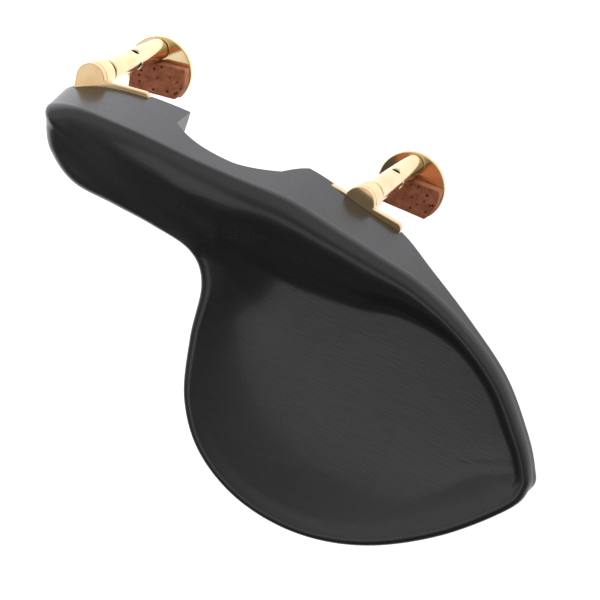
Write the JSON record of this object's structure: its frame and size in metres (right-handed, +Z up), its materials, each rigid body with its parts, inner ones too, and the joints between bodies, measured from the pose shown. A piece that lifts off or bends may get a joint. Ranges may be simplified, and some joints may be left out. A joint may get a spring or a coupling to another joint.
{
  "type": "violin chin rest",
  "caption": "Side-mounted violin chin rest: dished ebony cup with an arm arched over the tailpiece, held by gilt screw clamps with swivelling cork-faced feet.",
  "frame": {"origin": "midway between the two clamp axes, in the plane of the seat corks' undersides, where the rest stands on the violin's edge", "axes": "+Z up, away from the violin's top plate; +X towards the free end of the arm, the cup towards -X; the clamps stand on the -Y edge"},
  "size_m": [0.1289, 0.0726, 0.0587],
  "materials": {
    "ebony": "polished, near-black with a faint brown grain",
    "gold": "bright pale gold plating on turned brass",
    "steel": "plain machined",
    "cork": "matt brown cork with small dark pores"
  },
  "bodies": {
    "rest": {"chinrest_body": "ebony", "cup_seat_cork": "cork", "arm_seat_cork": "cork", "cup_bracket_plate": "gold", "cup_collar": "gold", "cup_bracket_screw_1": "steel", "cup_bracket_screw_2": "steel", "cup_upper_stud": "steel", "arm_bracket_plate": "gold", "arm_collar": "gold", "arm_bracket_screw_1": "steel", "arm_bracket_screw_2": "steel", "arm_upper_stud": "steel"},
    "cup_carrier": {"cup_swivel_pin": "steel"},
    "cup_barrel": {"cup_barrel": "gold"},
    "cup_foot": {"cup_foot_plate": "gold", "cup_foot_cork": "cork"},
    "arm_carrier": {"arm_swivel_pin": "steel"},
    "arm_barrel": {"arm_barrel": "gold"},
    "arm_foot": {"arm_foot_plate": "gold", "arm_foot_cork": "cork"}
  },
  "joints": [
    {"name": "cup_clamp_travel", "type": "slide", "parent": "rest", "child": "cup_carrier", "axis": [0, 0, 1], "range_m": [-0.008, 0.0024]},
    {"name": "cup_barrel_turn", "type": "hinge", "parent": "cup_carrier", "child": "cup_barrel", "pos_m": [-0.0325, 0, -0.0192], "axis": [0, 0, 1], "range_deg": [-4116, 1236]},
    {"name": "cup_foot_swivel", "type": "hinge", "parent": "cup_carrier", "child": "cup_foot", "pos_m": [-0.0325, 0, -0.0346], "axis": [0, 0, 1], "continuous": true},
    {"name": "arm_clamp_travel", "type": "slide", "parent": "rest", "child": "arm_carrier", "axis": [0, 0, 1], "range_m": [-0.008, 0.0024]},
    {"name": "arm_barrel_turn", "type": "hinge", "parent": "arm_carrier", "child": "arm_barrel", "pos_m": [0.0325, 0, -0.0192], "axis": [0, 0, 1], "range_deg": [-4116, 1236]},
    {"name": "arm_foot_swivel", "type": "hinge", "parent": "arm_carrier", "child": "arm_foot", "pos_m": [0.0325, 0, -0.0346], "axis": [0, 0, 1], "continuous": true}
  ],
  "couplings": [
    {"joint": "cup_barrel_turn", "follows": "cup_clamp_travel", "rad_per_m": 8976},
    {"joint": "arm_barrel_turn", "follows": "arm_clamp_travel", "rad_per_m": 8976}
  ]
}
